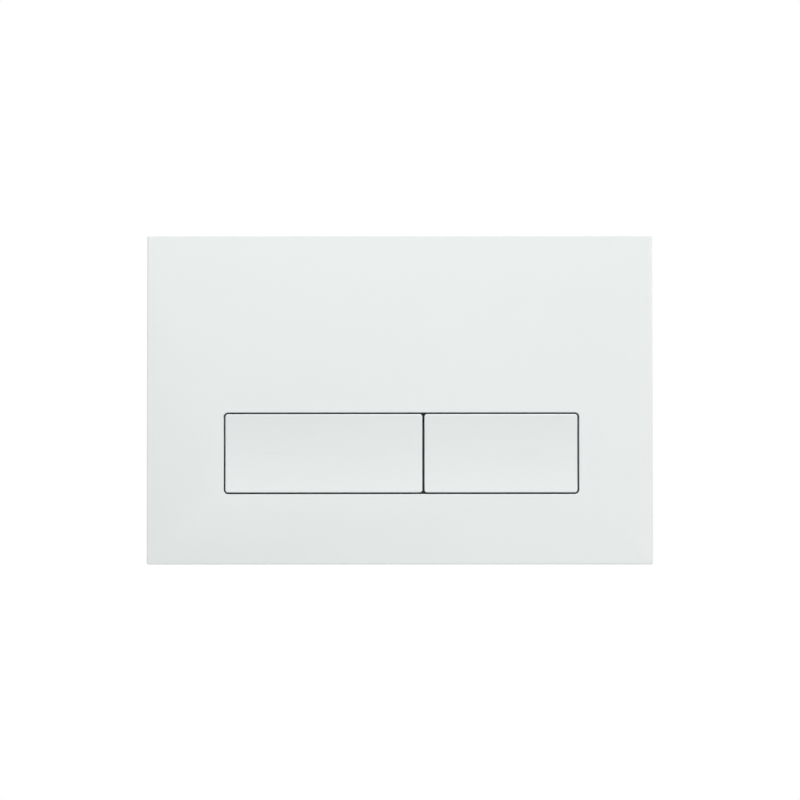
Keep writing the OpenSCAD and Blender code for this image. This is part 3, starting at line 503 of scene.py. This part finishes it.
RUBBER = moulded("black_rubber", (0.028, 0.028, 0.030), 0.12, (0.58, 0.74), 5200.0, 0.00001, edge=0.5)
for side in ("full", "half"):
    mid, low, high = place(side + "_rod_tip")
    front, back = low[1], high[1]
    rings = [(front + 1.5 + 1.75 * i + d, r) for i in range(4) for d, r in ((0.0, 4.58), (1.1, 4.58), (1.3, 4.1), (1.55, 4.1))]
    skin = eased([(back - 2, 0.02), (back - 2, 3.04), (front, 3.04), (front, 3.78), (front + 1.3, 3.78)] + rings[:-2]
                 + [(back - 1.5, 3.78), (back, 3.78), (back, 0.02)],
                 [0.01, 0.2, 0.2, 0.3, 0.2] + [0.2] * 14 + [0.3, 1.0, 0.01], steps=5)
    build(side + "_rod_tip_soft", [(spun_y(skin[:, 0], skin[:, 1], mid[0], mid[2], 48), False)], side + "_rod",
          side + "_rod_tip", RUBBER)


# Four rubber buffers stand on posts of the frame and stop a pressed button without a click.
# Each has a low dome in front and a stem that is pushed into its post.

for who in ("full_outer", "full_inner", "half_inner", "half_outer"):
    mid, low, high = place(who + "_buffer")
    front = low[1]
    dome = eased([(front, 0.02), (front + 0.05, 1.6), (front + 0.7, 2.98), (front + 2.8, 2.98), (front + 2.8, 1.18),
                  (high[1], 1.0), (high[1], 0.02)], [0.1, 0.8, 0.7, 0.3, 0.1, 0.3, 0.01])
    build(who + "_buffer_rubber", [(spun_y(dome[:, 0], dome[:, 1], mid[0], mid[2], 40), False)], "housing",
          who + "_buffer", RUBBER)


# A compression spring stands in a cup of the frame behind each end of a button and pushes it
# out. It is wound from 0.6 mm wire with a closed turn at each end, and it shortens as the
# button is pressed.

for who in ("full_outer", "full_inner", "half_inner", "half_outer"):
    mid, low, high = place(who + "_spring")
    turns, thick, coil = 6.0, 0.6, 2.9
    t = np.linspace(0, turns, 217)
    rise = np.interp(t, [0, 0.8, 1.3, turns - 1.3, turns - 0.8, turns], [0.62, 0.62, 2.0, 2.0, 0.62, 0.62])
    rise = np.concatenate([[0], np.cumsum((rise[1:] + rise[:-1]) / 2)])
    front, back = low[1] + thick / 2, high[1] - thick / 2
    y = front + (back - front) * rise / rise[-1]
    a = 2 * np.pi * t
    out = np.stack([np.cos(a), 0 * a, np.sin(a)], axis=-1)
    path = coil * out + np.stack([mid[0] + 0 * a, y, mid[2] + 0 * a], axis=-1)
    side = who.split("_")[0]
    spring = build(who + "_spring_coil", [(wire(path, out, np.array([[0, 1.0, 0]]).repeat(len(path), 0), thick),
                   False)], "housing", who + "_spring", SPRING_STEEL)
    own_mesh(spring)


# Each button's carrier is the grey ribbed plate behind its cap. Two arms at its top hang on
# the hinge pin, two lips at its lower edge stop it behind the collar, and its cups hold the
# springs.

for side in ("full", "half"):
    dressed(side + "_button_carrier_ribbed", side + "_button_carrier", side + "_button", LEVER_GREY, 0.00016)


# The caps are the two buttons that the fingers press, gloss white plastic like the cover. A
# cap's face is hollowed from top to bottom, its rim is rounded, and four stakes behind it
# are melted over in the carrier.

def rounded_loop(x0, x1, z0, z1, r, corner=7, side=26):
    """Points once round a rectangle with corners of radius r: side points to each straight run
    and corner points to each bend, so that loops of any size join point to point."""
    bend = np.linspace(0, np.pi / 2, corner + 2)[1:-1]
    run = np.linspace(0, 1, side)
    loops = []
    for k, (cx, cz) in enumerate(((x1 - r, z1 - r), (x0 + r, z1 - r), (x0 + r, z0 + r), (x1 - r, z0 + r))):
        a = bend + k * np.pi / 2
        loops.append(np.stack([cx + r * np.cos(a), cz + r * np.sin(a)], axis=-1))
        nx, nz = ((x0 + r, z1 - r), (x0 + r, z0 + r), (x1 - r, z0 + r), (x1 - r, z1 - r))[k]
        step = np.array([np.cos((k + 1) * np.pi / 2), np.sin((k + 1) * np.pi / 2)]) * r
        begin, end = np.array([cx, cz]) + step, np.array([nx, nz]) + step
        loops.append(begin + (end - begin) * run[:, None])
    return np.concatenate(loops)


def cap_skin(x0, x1, z0, z1, front, back, wall, under, r, edge, hollow):
    """A cap as loops from the middle of its face, over the rim, down the side, round the foot and
    up to the middle of its inside. The face's depth is hollow * (1 - (z / half height) ** 2)."""
    half = (z1 - z0) / 2
    middle = (z0 + z1) / 2
    inset = np.concatenate([half - np.array([0.02, 1, 2.5, 4.5, 7, 10, 13, 15.5, 17, 17.9])[:: 1],
                            edge * (1 - np.sin(np.linspace(0, np.pi / 2, 7)))])
    drop = np.concatenate([np.zeros(10), edge * (1 - np.cos(np.linspace(0, np.pi / 2, 7)))])
    rows = []
    for d, h in zip(inset, drop):
        loop = rounded_loop(x0 + d, x1 - d, z0 + d, z1 - d, max(r - d, 0.05))
        face = front + hollow * (1 - np.clip((loop[:, 1] - middle) / half, -1, 1) ** 2) + h
        rows.append(np.stack([loop[:, 0], face, loop[:, 1]], axis=-1))
    foot = [(0, back - 0.25), (0.04, back - 0.1), (0.12, back), (wall - 0.15, back), (wall, back - 0.15),
            (wall, under + 0.3), (wall + 0.1, under + 0.08), (wall + 0.35, under), (half - 0.1, under)]
    for d, y in foot:
        loop = rounded_loop(x0 + d, x1 - d, z0 + d, z1 - d, max(r - d, 0.05))
        rows.append(np.stack([loop[:, 0], 0 * loop[:, 0] + y, loop[:, 1]], axis=-1))
    return np.array(rows)


CAP_WHITE = moulded("button_white_gloss", (0.790, 0.828, 0.822), 0.004, (0.17, 0.21), 380.0, 0.000005)
for side in ("full", "half"):
    mid, low, high = place(side + "_button_cap")
    skin = cap_skin(low[0], high[0], low[2], high[2], -17.0, -12.6, 1.4, -14.62, 1.3, 0.42, 0.7)
    stakes = []
    for x in (low[0] + 20.5, high[0] - 20.5):
        for z in (low[2] + 6.5, high[2] - 6.5):
            melted = eased([(-14.8, 0.02), (-14.8, 1.39), (-12.98, 1.39), (-12.98, 2.18), (-12.42, 2.0), (-12.41, 0.02)],
                           [0.01, 0.1, 0.1, 0.25, 0.5, 0.3])
            stakes.append((spun_y(melted[:, 0], melted[:, 1], x, z, 28), False))
    build(side + "_button_cap_gloss", [(skin, False)] + stakes, side + "_button", side + "_button_cap",
          CAP_WHITE, crease=50)


# The buttons hang on two steel pins of 2.5 mm, one behind each button's top edge, which snap
# into the lugs of the cover.

for side in ("full", "half"):
    pin(side + "_hinge_pin_turned", side + "_button_pin")


# A thin flange runs along the lower edge of each carrier, between and beside its lips. It stands
# 0.2 mm behind the collar and closes the view through the gap below the button.

def strip(name, x0, x1, y0, y1, z0, z1, body, replaced, material):
    """A straight strip along X with a rounded rectangular section, its edges eased."""
    loop = rounded_loop(y0, y1, z0, z1, 0.12, side=4)
    bar = np.stack([np.column_stack([np.full(len(loop), x), loop]) for x in np.linspace(x0, x1, 9)])
    return build(name, [(bar, False)], body, replaced, material)


for side, ends in (("full", (-73.4, -0.1)), ("half", (23.05, 75.0))):
    strip(side + "_button_flange", *ends, -10.2, -9.8, -46.3, -44.3, side + "_button", side + "_button_carrier",
          LEVER_GREY)


# The cover plate is one gloss white moulding that clips over the frame. Its face is plain,
# with a rounded rim, and the opening for the buttons has a fine chamfer and a collar behind.

COVER_WHITE = moulded("cover_white_gloss", (0.806, 0.845, 0.838), 0.004, (0.18, 0.22), 360.0, 0.000005)
dressed("cover_plate_moulding", "cover_plate", "housing", COVER_WHITE, 0.00012)


# The room: a pale floor well below the plate, a white studio and one broad lamp above and to
# the right, steep enough to shade the hollow of the buttons and brighten the plate's top.

def floor_of(half, level):
    """A flat pale floor of 2 * half metres at a level below the object."""
    mesh = bpy.data.meshes.new("floor")
    corners = np.array([[-1, -1, 0], [1, -1, 0], [1, 1, 0], [-1, 1, 0]], float) * half + [0, 0, level]
    mesh.from_pydata(corners.tolist(), [], [(0, 1, 2, 3)])
    made = bpy.data.objects.new("floor", mesh)
    bpy.context.scene.collection.objects.link(made)
    return made


floor = floor_of(1.3, -0.30)
floor_paint, tree, shader = new_material("pale_floor")
grit = node(tree, "ShaderNodeTexNoise", Vector=node(tree, "ShaderNodeTexCoord").outputs["Object"], Scale=9.0, Detail=4.0)
tree.links.new(between(tree, grit.outputs["Fac"], (0.78, 0.78, 0.78), (0.82, 0.82, 0.82)), shader.inputs["Base Color"])
shader.inputs["Roughness"].default_value = 0.7
floor.data.materials.append(floor_paint)

world = bpy.data.worlds.new("white_studio")
bpy.context.scene.world = world
world.use_nodes = True
tree = world.node_tree
tree.nodes.clear()
heading = node(tree, "ShaderNodeTexCoord").outputs["Generated"]
height = node(tree, "ShaderNodeSeparateXYZ", Vector=heading).outputs["Z"]
sky = node(tree, "ShaderNodeMapRange", Value=height, _1=-1.0, _2=1.0, _3=0.305, _4=0.685).outputs["Result"]
studio = node(tree, "ShaderNodeBackground", Color=(1, 1, 1, 1), Strength=sky)
plain = node(tree, "ShaderNodeBackground", Color=(1, 1, 1, 1), Strength=1.0)
rays = node(tree, "ShaderNodeLightPath")
seen = node(tree, "ShaderNodeMath", {"operation": "MAXIMUM"}, _0=rays.outputs["Is Camera Ray"],
            _1=rays.outputs["Is Glossy Ray"])
seen = node(tree, "ShaderNodeMath", {"operation": "MAXIMUM"}, _0=seen.outputs["Value"],
            _1=rays.outputs["Is Transmission Ray"])
mixed = node(tree, "ShaderNodeMixShader", _0=seen.outputs["Value"], _1=studio.outputs["Background"],
             _2=plain.outputs["Background"])
node(tree, "ShaderNodeOutputWorld", Surface=mixed.outputs["Shader"])


def lamp(name, spot, aim, size, watts):
    """A square area lamp of size metres at spot that faces aim."""
    made = bpy.data.objects.new(name, bpy.data.lights.new(name, "AREA"))
    bpy.context.scene.collection.objects.link(made)
    made.data.size = size
    made.data.energy = watts
    made.location = spot
    made.rotation_mode = "QUATERNION"
    made.rotation_quaternion = (Vector(aim) - Vector(spot)).to_track_quat("-Z", "Y")
    return made


lamp("key_lamp", (0.24, -0.41, 1.25), (0, 0, 0), 0.7, 17.6)

# The camera stands 1.83 m from the plate, a touch to the right and below, with a long lens.
yaw, pitch, roll = (math.radians(angle) for angle in (0.482, -2.277, -0.024))
back = Vector((math.sin(yaw) * math.cos(pitch), -math.cos(yaw) * math.cos(pitch), math.sin(pitch)))
right = Vector((math.cos(yaw), math.sin(yaw), 0))
up = back.cross(right)
right, up = right * math.cos(roll) + up * math.sin(roll), up * math.cos(roll) - right * math.sin(roll)
camera = bpy.data.objects.new("camera", bpy.data.cameras.new("camera"))
bpy.context.scene.collection.objects.link(camera)
camera.data.lens = 170.3
camera.data.sensor_width = 36
camera.data.clip_start, camera.data.clip_end = 0.05, 50
turned = Matrix((right, up, back)).transposed().to_4x4()
camera.matrix_world = Matrix.Translation(Vector((0.000167, -0.017, -0.000297)) + back * 1.8331) @ turned
bpy.context.scene.camera = camera
bpy.context.scene.view_settings.view_transform = "Standard"
